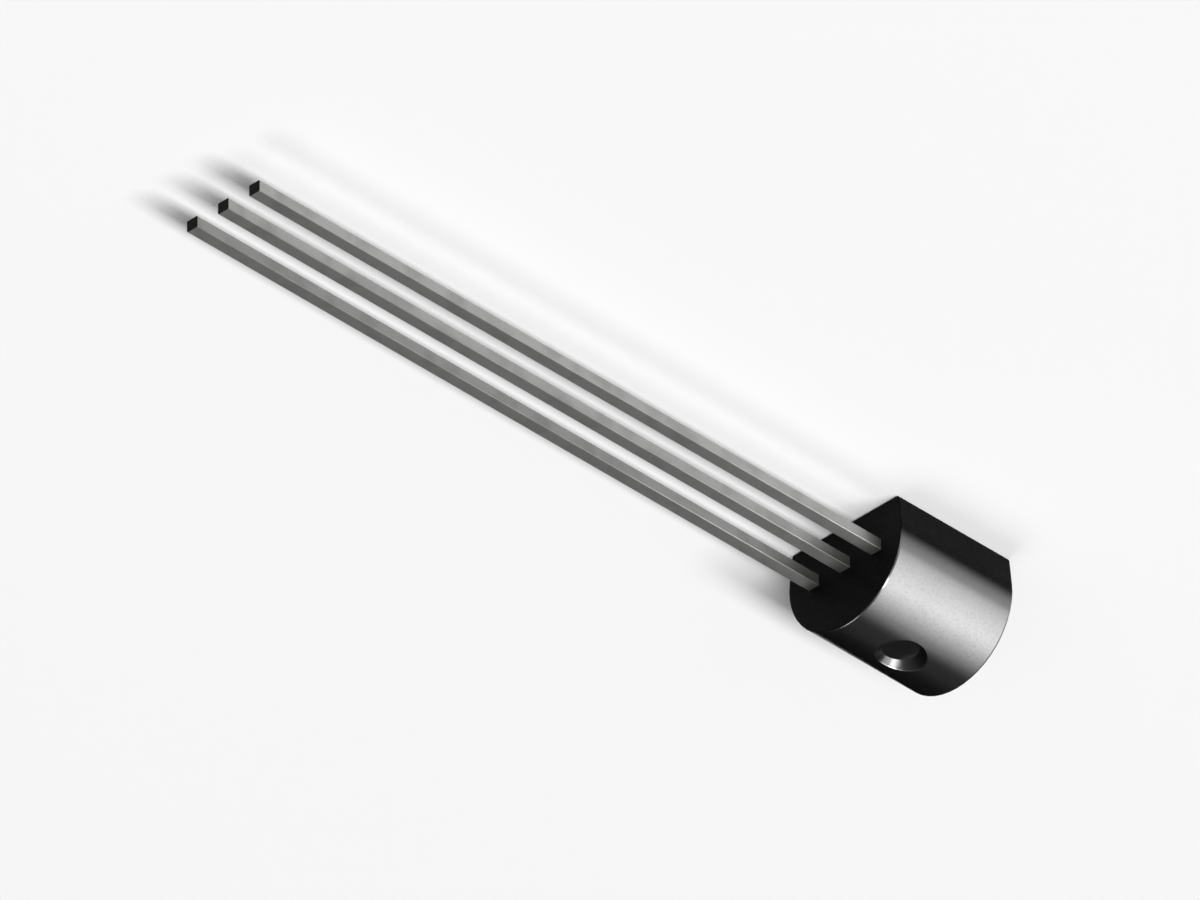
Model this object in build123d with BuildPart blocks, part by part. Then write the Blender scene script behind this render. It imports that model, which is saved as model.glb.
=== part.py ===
"""TO-92 transistor: a moulded case round a stamped lead frame, a silicon die and two bond wires.

All sizes are in millimetres. The origin is the centre of the middle lead's section, where the lead
leaves the case. +X runs along the leads to their tips, Y runs along the row of leads, and +Z points
from the flat face of the case to its round back, so the part lies on its flat face.
"""

import os
from math import cos, radians, sin, tan

from build123d import *

# Leads, as they stand out of the case
lead_pitch = 1.27
lead_width = 0.42
lead_thickness = 0.38
lead_length = 25.4
lead_edge_radius = 0.025

# Case: round at the back, widest at the parting plane, with drafted sides down to the flat face
case_length = 4.58
case_width = 4.62
flat_depth = 1.22
side_draft = 7
corner_radius = 0.12
rim_radius = 0.07

# Ejector pin mark in the middle of the round back: a flat floor and a sloping wall
ejector_diameter = 1.64
ejector_floor_diameter = 1.1
ejector_depth = 0.3

# Lead frame inside the case: a die pad on the middle lead, and a bond post on each outer lead
neck_length = 1.2
post_width = 0.7
post_length = 1.3
frame_gap = 0.25
pad_length = 2.1
shoulder_radius = 0.12
lock_hole_diameter = 0.5
lock_hole_margin = 0.25

# Die, on the side of the pad that faces the flat, and the solder under it
die_size = 0.5
die_thickness = 0.2
die_inset = 0.5
solder_thickness = 0.03
solder_border = 0.04

# Bond wires: a ball on the die, a loop, and a stitch on the post
wire_diameter = 0.03
loop_height = 0.32
loop_radius = 0.16
bond_pad_offset = 0.13
ball_diameter = 0.09
ball_height = 0.03
stitch_diameter = 0.08
stitch_height = 0.02

# Places that the sizes above give
parting_z = -lead_thickness / 2
flat_z = parting_z - flat_depth
back_radius = case_width / 2
back_z = parting_z + back_radius
draft_angle = radians(side_draft)
side_y = back_radius * cos(draft_angle)
side_z = parting_z - back_radius * sin(draft_angle)
flat_half_width = side_y - (side_z - flat_z) * tan(draft_angle)
pad_width = 2 * (lead_pitch - post_width / 2 - frame_gap)
pad_end_x = -neck_length - pad_length
lock_hole_x = pad_end_x + lock_hole_margin + lock_hole_diameter / 2
die_x = -neck_length - die_inset - die_size / 2
solder_face_z = parting_z - solder_thickness
die_face_z = solder_face_z - die_thickness
loop_z = die_face_z - loop_height

lead_plane = Plane.XY.offset(parting_z)
front_of_pad = Plane((die_x, 0, parting_z), x_dir=(1, 0, 0), z_dir=(0, 0, -1))
front_of_solder = front_of_pad.offset(solder_thickness)


def make_lead(label, lead_y, head_length, head_width, lock_hole=False):
    """A lead: a bar with rounded edges, and the flat head that it ends in inside the case."""
    with BuildPart() as lead:
        with BuildSketch(Plane.YZ.offset(-neck_length)):
            with Locations((lead_y, 0)):
                RectangleRounded(lead_width, lead_thickness, lead_edge_radius)
        extrude(amount=neck_length + lead_length)
        with BuildSketch(lead_plane):
            with Locations((-neck_length, lead_y)):
                head = Rectangle(head_length, head_width, align=(Align.MAX, Align.CENTER))
            fillet(head.vertices(), shoulder_radius)
            if lock_hole:
                with Locations((lock_hole_x, lead_y)):
                    Circle(lock_hole_diameter / 2, mode=Mode.SUBTRACT)
        extrude(amount=lead_thickness)
    lead.part.label = label
    return lead.part


def make_bond_wire(label, side):
    """A wire that loops from the die to the post on one side (+1 or -1 along Y)."""
    pad_y = side * bond_pad_offset
    post_y = side * lead_pitch
    ball_plane = Plane((die_x, pad_y, die_face_z), z_dir=(0, 0, -1))
    stitch_plane = Plane((die_x, post_y, parting_z), z_dir=(0, 0, -1))
    with BuildPart() as wire:
        with BuildLine():
            FilletPolyline(
                (die_x, pad_y, die_face_z),
                (die_x, pad_y, loop_z),
                (die_x, post_y, loop_z),
                (die_x, post_y, parting_z),
                radius=loop_radius,
            )
        with BuildSketch(ball_plane):
            Circle(wire_diameter / 2)
        sweep()
        with BuildSketch(ball_plane):
            Circle(ball_diameter / 2)
        extrude(amount=ball_height)
        with BuildSketch(stitch_plane):
            Circle(stitch_diameter / 2)
        extrude(amount=stitch_height)
    wire.part.label = label
    return wire.part


# Leads: the middle one's head is the pad that carries the die, and the outer heads are bond posts
collector_lead = make_lead("collector_lead", 0, pad_length, pad_width, lock_hole=True)
base_lead = make_lead("base_lead", lead_pitch, post_length, post_width)
emitter_lead = make_lead("emitter_lead", -lead_pitch, post_length, post_width)

# Solder and die, stacked on the front of the pad
with BuildPart() as die_solder:
    with BuildSketch(front_of_pad):
        Rectangle(die_size + 2 * solder_border, die_size + 2 * solder_border)
    extrude(amount=solder_thickness)
die_solder.part.label = "die_solder"

with BuildPart() as silicon_die:
    with BuildSketch(front_of_solder):
        Rectangle(die_size, die_size)
    extrude(amount=die_thickness)
silicon_die.part.label = "silicon_die"

# Bond wires
base_bond_wire = make_bond_wire("base_bond_wire", 1)
emitter_bond_wire = make_bond_wire("emitter_bond_wire", -1)

moulded_in = [
    collector_lead,
    base_lead,
    emitter_lead,
    die_solder.part,
    silicon_die.part,
    base_bond_wire,
    emitter_bond_wire,
]

# Case: moulded round everything above
with BuildPart() as case:
    with BuildSketch(Plane.YZ):
        with BuildLine():
            Polyline(
                (side_y, side_z),
                (flat_half_width, flat_z),
                (-flat_half_width, flat_z),
                (-side_y, side_z),
            )
            ThreePointArc((-side_y, side_z), (0, back_z), (side_y, side_z))
        make_face()
    extrude(amount=-case_length)
    flat_face = case.faces().sort_by(Axis.Z)[0]
    fillet(flat_face.edges().filter_by(Axis.X), corner_radius)
    end_faces = case.faces().filter_by(Axis.X)
    fillet(end_faces.edges(), rim_radius)
    with Locations((-case_length / 2, 0, back_z)):
        Cone(
            ejector_floor_diameter / 2,
            ejector_diameter / 2,
            ejector_depth,
            align=(Align.CENTER, Align.CENTER, Align.MAX),
            mode=Mode.SUBTRACT,
        )
    add(moulded_in, mode=Mode.SUBTRACT)
case.part.label = "case"

os.makedirs("parts", exist_ok=True)
for piece in [case.part, *moulded_in]:
    export_step(piece, f"parts/{piece.label}.step")
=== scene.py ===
"""Finishes, lights and frames a TO-92 transistor that lies on its flat face."""

from math import asin, atan, cos, pi, radians, sin, sqrt

import bmesh
import bpy
from bpy.props import FloatProperty, FloatVectorProperty, PointerProperty
from mathutils import Matrix, Quaternion, Vector


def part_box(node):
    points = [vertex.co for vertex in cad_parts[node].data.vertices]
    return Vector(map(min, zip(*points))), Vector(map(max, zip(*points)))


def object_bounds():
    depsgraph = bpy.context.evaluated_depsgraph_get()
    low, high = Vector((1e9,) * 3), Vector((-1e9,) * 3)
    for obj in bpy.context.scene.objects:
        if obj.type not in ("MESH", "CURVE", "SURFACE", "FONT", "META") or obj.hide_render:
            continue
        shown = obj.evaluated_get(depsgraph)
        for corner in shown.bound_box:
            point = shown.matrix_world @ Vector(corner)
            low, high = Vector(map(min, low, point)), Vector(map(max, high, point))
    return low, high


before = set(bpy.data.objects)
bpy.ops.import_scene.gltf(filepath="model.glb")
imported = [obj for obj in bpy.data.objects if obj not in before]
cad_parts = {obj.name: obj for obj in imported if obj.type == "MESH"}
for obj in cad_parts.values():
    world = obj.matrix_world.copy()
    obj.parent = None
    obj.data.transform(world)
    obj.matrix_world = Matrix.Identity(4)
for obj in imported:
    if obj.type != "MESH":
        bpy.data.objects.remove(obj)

bl_info = {
    "name": "TO-92 transistor",
    "version": (1, 0, 0),
    "blender": (4, 5, 0),
    "location": "View3D > Sidebar > Transistor",
    "description": "Finishes a moulded transistor and sets its studio stage",
    "category": "Object",
}

MM = 0.001
NOISE_MEAN = 0.5

# The part: the round back of its case is an arc about an axis along X
CAD_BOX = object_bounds()
FLOOR_Z = CAD_BOX[0].z
CASE_LOW, CASE_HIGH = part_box("case")
CASE_MIDDLE_X = (CASE_LOW.x + CASE_HIGH.x) / 2
BACK_RADIUS = CASE_HIGH.y
BACK_AXIS_Z = CASE_HIGH.z - BACK_RADIUS
LEAD_TIP_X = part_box("collector_lead")[1].x
LEADS = ("collector_lead", "base_lead", "emitter_lead")
BOND_WIRES = ("base_bond_wire", "emitter_bond_wire")

# The photograph: an exact isometric view, turned half round, of 1200 by 900 pixels
PHOTO_WIDTH_PX = 1200
PHOTO_HEIGHT_PX = 900
PHOTO_PX_PER_MM = 34.61
PHOTO_LEAD_ROOT_PX = (844.8, 564.9)
VIEW_AZIMUTH = radians(45)
VIEW_ELEVATION = atan(1 / sqrt(2))
VIEW_ROLL = pi
TOWARDS_CAMERA = Vector(
    (
        sin(VIEW_AZIMUTH) * cos(VIEW_ELEVATION),
        -cos(VIEW_AZIMUTH) * cos(VIEW_ELEVATION),
        sin(VIEW_ELEVATION),
    )
)

# The softboxes: a long bar beside the leads, moved a little towards their tips, and a square one above
SOFTBOX_DISTANCE = 2.7
BAR_TOWARDS = Vector((0, -1, 1)).normalized()
BAR_SIZE = (3.0, 0.45)
BAR_AHEAD = 0.3
TOP_TOWARDS = Vector((-0.1, 0.45, 0.89)).normalized()
TOP_SIZE = (1.35, 1.35)


def colour(name, description, default):
    """A linear colour that a user can set."""
    return FloatVectorProperty(
        name=name, description=description, default=default, subtype="COLOR", size=3, min=0, max=1
    )


def share(name, description, default):
    """A number from 0 to 1 that a user can set."""
    return FloatProperty(
        name=name, description=description, default=default, subtype="FACTOR", min=0, max=1
    )


def length(name, description, default):
    """A length in metres that a user can set."""
    return FloatProperty(
        name=name,
        description=description,
        default=default,
        subtype="DISTANCE",
        unit="LENGTH",
        min=0,
        precision=6,
    )


def radiance(name, description, default):
    """A lamp's brightness that a user can set, where 1 would show as white."""
    return FloatProperty(name=name, description=description, default=default, min=0)


class CaseFinish(bpy.types.PropertyGroup):
    """The moulded epoxy of the case."""

    epoxy: colour("Epoxy", "Colour of the moulding compound", (0.003, 0.003, 0.0033))
    filler: colour("Filler", "Colour of the filler specks in the compound", (0.0065, 0.0065, 0.007))
    dull_roughness: share("Dull roughness", "Roughness of the ends, the flat face and its sides", 0.5)
    gloss_roughness: share("Gloss roughness", "Roughness of the polished skin of the round back", 0.24)
    gloss_index: FloatProperty(
        name="Gloss index",
        description="Index of refraction of the polished skin",
        default=2.4,
        min=1,
        max=3,
    )
    mark_gloss: share("Mark gloss", "Share of the polish that the ejector pin mark has", 0.4)
    grain_size: length("Grain size", "Size of the mould's fine grain", 0.08 * MM)
    grain_depth: length("Grain depth", "Depth of the mould's fine grain", 0.0015 * MM)


class LeadFinish(bpy.types.PropertyGroup):
    """The tinned leads."""

    tin: colour("Tin", "Colour of the tin plate", (0.40, 0.398, 0.385))
    dull_tin: colour("Dull tin", "Colour of the duller patches of the plate", (0.33, 0.328, 0.315))
    # Painted shade: the sheared tips' end faces are painted near black, as if no light reached them.
    cut: colour("Cut end", "Colour of the sheared tips", (0.014, 0.013, 0.012))
    roughness: share("Roughness", "Roughness of the plate", 0.44)
    streak_width: length("Streak width", "Width of the rolling streaks along the leads", 0.05 * MM)
    streak_depth: length("Streak depth", "Depth of the rolling streaks", 0.0012 * MM)


class DieFinish(bpy.types.PropertyGroup):
    """The pieces sealed in the case."""

    silicon: colour("Silicon", "Colour of the die", (0.10, 0.11, 0.13))
    solder: colour("Solder", "Colour of the solder under the die", (0.42, 0.42, 0.44))
    solder_roughness: share("Solder roughness", "Roughness of the solder", 0.4)
    gold: colour("Gold", "Colour of the bond wires", (0.85, 0.56, 0.20))
    gold_roughness: share("Gold roughness", "Roughness of the bond wires", 0.2)


class StageLook(bpy.types.PropertyGroup):
    """The floor and the lights."""

    floor: colour("Floor", "Colour of the floor", (0.84, 0.84, 0.845))
    dim_wall: share("Dim wall", "Brightness of the studio behind the part", 0.03)
    bright_wall: share("Bright wall", "Brightness of the studio on the viewer's side", 0.35)
    horizon: share("Horizon", "Brightness of the studio from the horizon down", 0.93)
    bar_radiance: radiance("Bar softbox", "Brightness of the long softbox beside the leads", 23.2)
    top_radiance: radiance("Top softbox", "Brightness of the softbox over the part", 3.0)
    panel_radiance: radiance("Panel", "Brightness of the bowed panel that the round back mirrors", 4.2)


class Socket:
    """A shader socket: sums on it add Math nodes, and node() adds any other node to its tree."""

    def __init__(self, tree, socket=None):
        self.tree = tree
        self.socket = socket

    def node(self, kind, settings=None, inputs=None, outputs=(0,)):
        """Add a node, set it up, give its sockets values or links, and return the outputs asked for."""
        made = self.tree.nodes.new("ShaderNode" + kind)
        for name, value in (settings or {}).items():
            setattr(made, name, value)
        for name, value in (inputs or {}).items():
            if isinstance(value, Socket):
                self.tree.links.new(value.socket, made.inputs[name])
            else:
                made.inputs[name].default_value = value
        found = [Socket(self.tree, made.outputs[name]) for name in outputs]
        return found[0] if len(found) == 1 else found

    def math(self, operation, *values):
        """One Math node on the values."""
        return self.node("Math", {"operation": operation}, dict(enumerate(values)))

    def __add__(self, other):
        return self.math("ADD", self, other)

    def __sub__(self, other):
        return self.math("SUBTRACT", self, other)

    def __rsub__(self, other):
        return self.math("SUBTRACT", other, self)

    def __mul__(self, other):
        return self.math("MULTIPLY", self, other)

    def __gt__(self, other):
        return self.math("GREATER_THAN", self, other)

    def __lt__(self, other):
        return self.math("LESS_THAN", self, other)

    __radd__ = __add__
    __rmul__ = __mul__

    def step(self, low, high):
        """0 below low and 1 above high, with a smooth rise between."""
        return self.node(
            "MapRange",
            {"interpolation_type": "SMOOTHSTEP"},
            {"Value": self, "From Min": low, "From Max": high},
        )

    def mix(self, first, second):
        """The first colour where this is 0, and the second where it is 1."""
        return self.node("Mix", {"data_type": "RGBA"}, {0: self, 6: first, 7: second}, outputs=(2,))

    def noise(self, position, size, detail=2.0):
        """Soft noise from 0 to 1, with patches of about the size."""
        return self.node("TexNoise", {}, {"Vector": position, "Scale": 1 / size, "Detail": detail})

    def spread(self, width):
        """This noise as a change that is as often up as down, the width from end to end."""
        return width * (self - NOISE_MEAN)

    def bump(self, depth):
        """The normal of a surface that this noise dents to a depth."""
        return self.node("Bump", {}, {"Height": self, "Strength": 1.0, "Distance": depth})


def rgba(colour_value):
    """A colour with full opacity, as a socket takes it."""
    return (*colour_value, 1.0)


def new_finish(name):
    """An empty material, with the start of its shader and the object coordinates."""
    material = bpy.data.materials.new(name)
    material.use_nodes = True
    material.node_tree.nodes.clear()
    shader = Socket(material.node_tree)
    position = shader.node("TexCoord", outputs=("Object",))
    return material, shader, position


def close_finish(shader, inputs):
    """Feed the inputs to the material's surface."""
    surface = shader.node("BsdfPrincipled", {}, inputs)
    shader.node("OutputMaterial", {}, {"Surface": surface}, outputs=())


def assign_finish(material, *nodes):
    """Put a material on CAD nodes."""
    for name in nodes:
        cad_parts[name].data.materials[0] = material


def case_epoxy(look):
    """Black moulding compound: dull all over, with a polished skin on the round back."""
    skin = 0.02 * MM
    mark_reach = radians(30)
    polish_fades_from = radians(77)
    polish_fades_to = radians(91)
    flow_size = 1.1 * MM
    flow_spread = 0.1
    speck_levels = (0.48, 0.68)
    speck_dulling = 0.11
    dull_specular = 0.03

    # Places: the turn is the angle round the back's axis, from the middle of the back
    material, shader, position = new_finish("case_epoxy")
    x, y, z = shader.node("SeparateXYZ", {}, {"Vector": position}, outputs=("X", "Y", "Z"))
    above_axis = z - BACK_AXIS_Z
    from_axis = shader.math("SQRT", y * y + above_axis * above_axis)
    turn = shader.math("ARCTAN2", shader.math("ABSOLUTE", y), above_axis)
    ends = (x > CASE_HIGH.x - skin) + (x < CASE_LOW.x + skin)
    ejector_mark = (from_axis < BACK_RADIUS - skin) * (turn < mark_reach)

    # Unevenness: filler specks, flow marks and the mould's grain
    specks = shader.noise(position, look.grain_size).step(*speck_levels)
    flow = shader.noise(position, flow_size, detail=3.0).spread(flow_spread)
    grain = shader.noise(position, look.grain_size, detail=3.0)

    polish = (1.0 - turn.step(polish_fades_from, polish_fades_to)) * (1.0 - ends)
    polish = polish * (1.0 - (1.0 - look.mark_gloss) * ejector_mark)
    polish = polish * (1.0 - speck_dulling * specks - flow)
    close_finish(
        shader,
        {
            "Base Color": specks.mix(rgba(look.epoxy), rgba(look.filler)),
            "Roughness": look.dull_roughness + flow,
            "Specular IOR Level": dull_specular,
            "Coat Weight": polish,
            "Coat Roughness": look.gloss_roughness,
            "Coat IOR": look.gloss_index,
            "Normal": grain.bump(look.grain_depth),
        },
    )
    return material


def lead_tin(look):
    """Satin tin plate with fine rolling streaks along the lead, and painted shade on the sheared tips,
    whose end faces are painted near black.
    """
    streak_squeeze = (0.012, 1.0, 1.0)
    streak_spread = 0.12
    patch_size = 0.9 * MM
    patch_levels = (0.42, 0.68)
    patch_spread = 0.1
    cut_depth = 0.012 * MM
    cut_roughening = 0.3

    material, shader, position = new_finish("lead_tin")
    x = shader.node("SeparateXYZ", {}, {"Vector": position}, outputs=("X",))
    squeezed = shader.node("Mapping", {}, {"Vector": position, "Scale": streak_squeeze})
    streaks = shader.noise(squeezed, look.streak_width, detail=3.0)
    patches = shader.noise(position, patch_size, detail=3.0)
    # The sheared end faces of the tips: painted near black as shade, and made rougher.
    cut = x > LEAD_TIP_X - cut_depth
    plate = patches.step(*patch_levels).mix(rgba(look.tin), rgba(look.dull_tin))
    unevenness = streaks.spread(streak_spread) + patches.spread(patch_spread)
    close_finish(
        shader,
        {
            # painted shade: the tips' end faces take the near-black colour
            "Base Color": cut.mix(plate, rgba(look.cut)),
            "Metallic": 1.0,
            "Roughness": look.roughness + unevenness + cut_roughening * cut,
            "Normal": streaks.bump(look.streak_depth),
        },
    )
    return material


def plain_metal(name, base, roughness):
    """A bright metal with a little unevenness."""
    patch_size = 0.05 * MM
    patch_spread = 0.15
    material, shader, position = new_finish(name)
    patches = shader.noise(position, patch_size).spread(patch_spread)
    close_finish(
        shader,
        {"Base Color": rgba(base), "Metallic": 1.0, "Roughness": roughness + patches},
    )
    return material


def die_silicon(look):
    """Polished silicon, half a metal in its looks, with a faint haze."""
    haze_size = 0.08 * MM
    clear_roughness = 0.12
    haze_roughening = 0.12
    metallic = 0.6
    material, shader, position = new_finish("die_silicon")
    haze = haze_roughening * shader.noise(position, haze_size)
    close_finish(
        shader,
        {"Base Color": rgba(look.silicon), "Metallic": metallic, "Roughness": clear_roughness + haze},
    )
    return material


def add_object(name, mesh_builder):
    """A new object at the origin, with the mesh that the builder leaves in a bmesh."""
    mesh = bpy.data.meshes.new(name)
    shape = bmesh.new()
    mesh_builder(shape)
    shape.to_mesh(mesh)
    shape.free()
    made = bpy.data.objects.new(name, mesh)
    bpy.context.scene.collection.objects.link(made)
    return made


def close_glow(shader, glow_colour, strength):
    """Let a material's surface give off light."""
    glow = shader.node("Emission", {}, {"Color": glow_colour, "Strength": strength})
    shader.node("OutputMaterial", {}, {"Surface": glow}, outputs=())


def show_in_gloss(card, material):
    """Finish a card of the stage that shows in reflections alone and lights nothing else."""
    card.data.materials.append(material)
    card.visible_camera = False
    card.visible_diffuse = False
    card.visible_shadow = False


def make_floor(look):
    """A wide pale floor just under the flat face, which can be seen through from below."""
    reach = 0.5
    gap = 0.004 * MM
    roughness = 0.9
    specular = 0.1

    def build(shape):
        bmesh.ops.create_grid(shape, x_segments=1, y_segments=1, size=reach)
        bmesh.ops.translate(shape, verts=shape.verts, vec=(0, 0, FLOOR_Z - gap))

    floor = add_object("floor", build)
    material, shader, _ = new_finish("floor")
    below = shader.node("NewGeometry", outputs=("Backfacing",))
    paint = shader.node(
        "BsdfPrincipled",
        {},
        {"Base Color": rgba(look.floor), "Roughness": roughness, "Specular IOR Level": specular},
    )
    clear = shader.node("BsdfTransparent")
    surface = shader.node("MixShader", {}, {0: below, 1: paint, 2: clear})
    shader.node("OutputMaterial", {}, {"Surface": surface}, outputs=())
    floor.data.materials.append(material)


def make_softbox(name, towards, size, level, ahead=0.0):
    """A softbox that faces the row of leads from one direction, with its longer side along them."""
    lamp = bpy.data.lights.new(name, "AREA")
    lamp.shape = "RECTANGLE"
    lamp.size, lamp.size_y = size
    lamp.energy = level * pi * lamp.size * lamp.size_y
    softbox = bpy.data.objects.new(name, lamp)
    softbox.location = towards * SOFTBOX_DISTANCE + Vector((ahead, 0, 0))
    softbox.rotation_euler = towards.to_track_quat("Z", "Y").to_euler()
    softbox.visible_camera = False
    bpy.context.scene.collection.objects.link(softbox)


def make_panel(look):
    """A bowed panel beside the case that only gloss shows: it draws the broad highlight on the back.

    The round back mirrors it to the viewer from the floor to past the top, and on the way the panel's
    brightness swells and fades.
    """
    radius = 11.7 * MM
    half_length = 4.5 * MM
    first_turn = radians(-18)
    brightest_turn = radians(54)
    dark_turn = radians(137)
    floor_turn = pi / 2 + asin((BACK_AXIS_Z - FLOOR_Z) / radius)
    steps = 28
    axis = Vector((0, 0, BACK_AXIS_Z))
    drift = (radius - BACK_RADIUS) * TOWARDS_CAMERA.x / sqrt(1 - TOWARDS_CAMERA.x**2)
    middle = Vector((CASE_MIDDLE_X - drift, 0, BACK_AXIS_Z + radius))

    def build(shape):
        half = Vector((half_length, 0, 0))
        ends = [shape.verts.new(middle - half), shape.verts.new(middle + half)]
        edge = shape.edges.new(ends)
        bmesh.ops.rotate(shape, verts=ends, cent=axis, matrix=Matrix.Rotation(first_turn, 3, "X"))
        bmesh.ops.spin(
            shape,
            geom=[*ends, edge],
            cent=axis,
            axis=(1, 0, 0),
            angle=floor_turn - first_turn,
            steps=steps,
        )

    material, shader, position = new_finish("bowed_panel")
    y, z = shader.node("SeparateXYZ", {}, {"Vector": position}, outputs=("Y", "Z"))
    turn = shader.math("ARCTAN2", -1.0 * y, z - BACK_AXIS_Z)
    swell = turn.step(first_turn, brightest_turn) * (1.0 - turn.step(brightest_turn, dark_turn))
    close_glow(shader, swell, look.panel_radiance)
    show_in_gloss(add_object("bowed_panel", build), material)


def make_dark_card():
    """A black card behind the part that only gloss shows: it keeps the far rim of the back dark."""
    distance = 8 * MM
    width = 24 * MM
    height = 8 * MM
    along = TOWARDS_CAMERA.x
    towards = Vector((-along, sqrt(1 - along * along), 0))
    foot = Vector((CASE_MIDDLE_X, 0, FLOOR_Z)) + towards * distance
    centre = foot + Vector((0, 0, height / 2))
    place = Matrix.LocRotScale(centre, towards.to_track_quat("Z", "Y"), (width, height, 1))

    def build(shape):
        bmesh.ops.create_grid(shape, x_segments=1, y_segments=1, size=1 / 2, matrix=place)

    material, shader, _ = new_finish("dark_card")
    close_glow(shader, rgba((0, 0, 0)), 0.0)
    show_in_gloss(add_object("dark_card", build), material)


def make_surround(look):
    """A studio that is bright on the viewer's side and dim behind the part, with a pale horizon."""
    facing_levels = (-0.2, 0.9)
    horizon_heights = (sin(radians(0.5)), sin(radians(1.5)))
    world = bpy.data.worlds.new("studio")
    world.use_nodes = True
    world.node_tree.nodes.clear()
    shader = Socket(world.node_tree)
    direction = shader.node("TexCoord", outputs=("Generated",))
    x, y, z = shader.node("SeparateXYZ", {}, {"Vector": direction}, outputs=("X", "Y", "Z"))
    front = Vector((TOWARDS_CAMERA.x, TOWARDS_CAMERA.y)).normalized()
    facing = (front.x * x + front.y * y).step(*facing_levels)
    wall = look.dim_wall + (look.bright_wall - look.dim_wall) * facing
    above = z.step(*horizon_heights)
    level = look.horizon + above * (wall - look.horizon)
    backdrop = shader.node("Background", {}, {"Color": level, "Strength": 1.0})
    shader.node("OutputWorld", {}, {"Surface": backdrop}, outputs=())
    bpy.context.scene.world = world


def make_camera():
    """A camera without perspective, at the photograph's angle, turn and framing."""
    distance = 0.12
    nearest = 1 * MM
    farthest = 2.0
    turn = (-TOWARDS_CAMERA).to_track_quat("-Z", "Y") @ Quaternion((0, 0, 1), VIEW_ROLL)
    right = turn @ Vector((1, 0, 0))
    up = turn @ Vector((0, 1, 0))
    across = (PHOTO_WIDTH_PX / 2 - PHOTO_LEAD_ROOT_PX[0]) / PHOTO_PX_PER_MM * MM
    upwards = (PHOTO_LEAD_ROOT_PX[1] - PHOTO_HEIGHT_PX / 2) / PHOTO_PX_PER_MM * MM
    lens = bpy.data.cameras.new("camera")
    lens.type = "ORTHO"
    lens.ortho_scale = PHOTO_WIDTH_PX / PHOTO_PX_PER_MM * MM
    lens.clip_start = nearest
    lens.clip_end = farthest
    camera = bpy.data.objects.new("camera", lens)
    camera.rotation_mode = "QUATERNION"
    camera.rotation_quaternion = turn
    camera.location = right * across + up * upwards + TOWARDS_CAMERA * distance
    bpy.context.scene.collection.objects.link(camera)
    bpy.context.scene.camera = camera


class TRANSISTOR_OT_finish_case(bpy.types.Operator):
    """Finish the moulded case"""

    bl_idname = "transistor.finish_case"
    bl_label = "Finish the case"

    def execute(self, context):
        assign_finish(case_epoxy(context.scene.transistor_case), "case")
        return {"FINISHED"}


class TRANSISTOR_OT_finish_leads(bpy.types.Operator):
    """Finish the three leads"""

    bl_idname = "transistor.finish_leads"
    bl_label = "Finish the leads"

    def execute(self, context):
        assign_finish(lead_tin(context.scene.transistor_leads), *LEADS)
        return {"FINISHED"}


class TRANSISTOR_OT_finish_die(bpy.types.Operator):
    """Finish the die, its solder and the bond wires"""

    bl_idname = "transistor.finish_die"
    bl_label = "Finish the die and its wires"

    def execute(self, context):
        look = context.scene.transistor_die
        assign_finish(die_silicon(look), "silicon_die")
        assign_finish(plain_metal("die_solder", look.solder, look.solder_roughness), "die_solder")
        assign_finish(plain_metal("bond_gold", look.gold, look.gold_roughness), *BOND_WIRES)
        return {"FINISHED"}


class TRANSISTOR_OT_set_stage(bpy.types.Operator):
    """Set the floor, the lights and the camera"""

    bl_idname = "transistor.set_stage"
    bl_label = "Set the stage"

    def execute(self, context):
        look = context.scene.transistor_stage
        make_floor(look)
        make_softbox("bar_softbox", BAR_TOWARDS, BAR_SIZE, look.bar_radiance, ahead=BAR_AHEAD)
        make_softbox("top_softbox", TOP_TOWARDS, TOP_SIZE, look.top_radiance)
        make_panel(look)
        make_dark_card()
        make_surround(look)
        make_camera()
        context.scene.view_settings.view_transform = "Standard"
        return {"FINISHED"}


class TRANSISTOR_PT_sidebar(bpy.types.Panel):
    """Lists the transistor's operators and settings"""

    bl_idname = "TRANSISTOR_PT_sidebar"
    bl_label = "Transistor"
    bl_space_type = "VIEW_3D"
    bl_region_type = "UI"
    bl_category = "Transistor"

    def draw(self, context):
        for operator, settings in STEPS:
            box = self.layout.box()
            box.operator(operator.bl_idname)
            group = getattr(context.scene, settings)
            for name in group.__annotations__:
                box.prop(group, name)


STEPS = (
    (TRANSISTOR_OT_finish_case, "transistor_case"),
    (TRANSISTOR_OT_finish_leads, "transistor_leads"),
    (TRANSISTOR_OT_finish_die, "transistor_die"),
    (TRANSISTOR_OT_set_stage, "transistor_stage"),
)
SETTINGS = {
    "transistor_case": CaseFinish,
    "transistor_leads": LeadFinish,
    "transistor_die": DieFinish,
    "transistor_stage": StageLook,
}
CLASSES = (*SETTINGS.values(), *(operator for operator, _ in STEPS), TRANSISTOR_PT_sidebar)


def register():
    """Add the classes to Blender and the settings to its scenes."""
    for made in CLASSES:
        bpy.utils.register_class(made)
    for name, group in SETTINGS.items():
        setattr(bpy.types.Scene, name, PointerProperty(type=group))


def unregister():
    """Take out what register added."""
    for name in SETTINGS:
        delattr(bpy.types.Scene, name)
    for made in reversed(CLASSES):
        bpy.utils.unregister_class(made)


def main():
    register()
    bpy.ops.transistor.finish_case()
    bpy.ops.transistor.finish_leads()
    bpy.ops.transistor.finish_die()
    bpy.ops.transistor.set_stage()


if __name__ == "__main__":
    main()
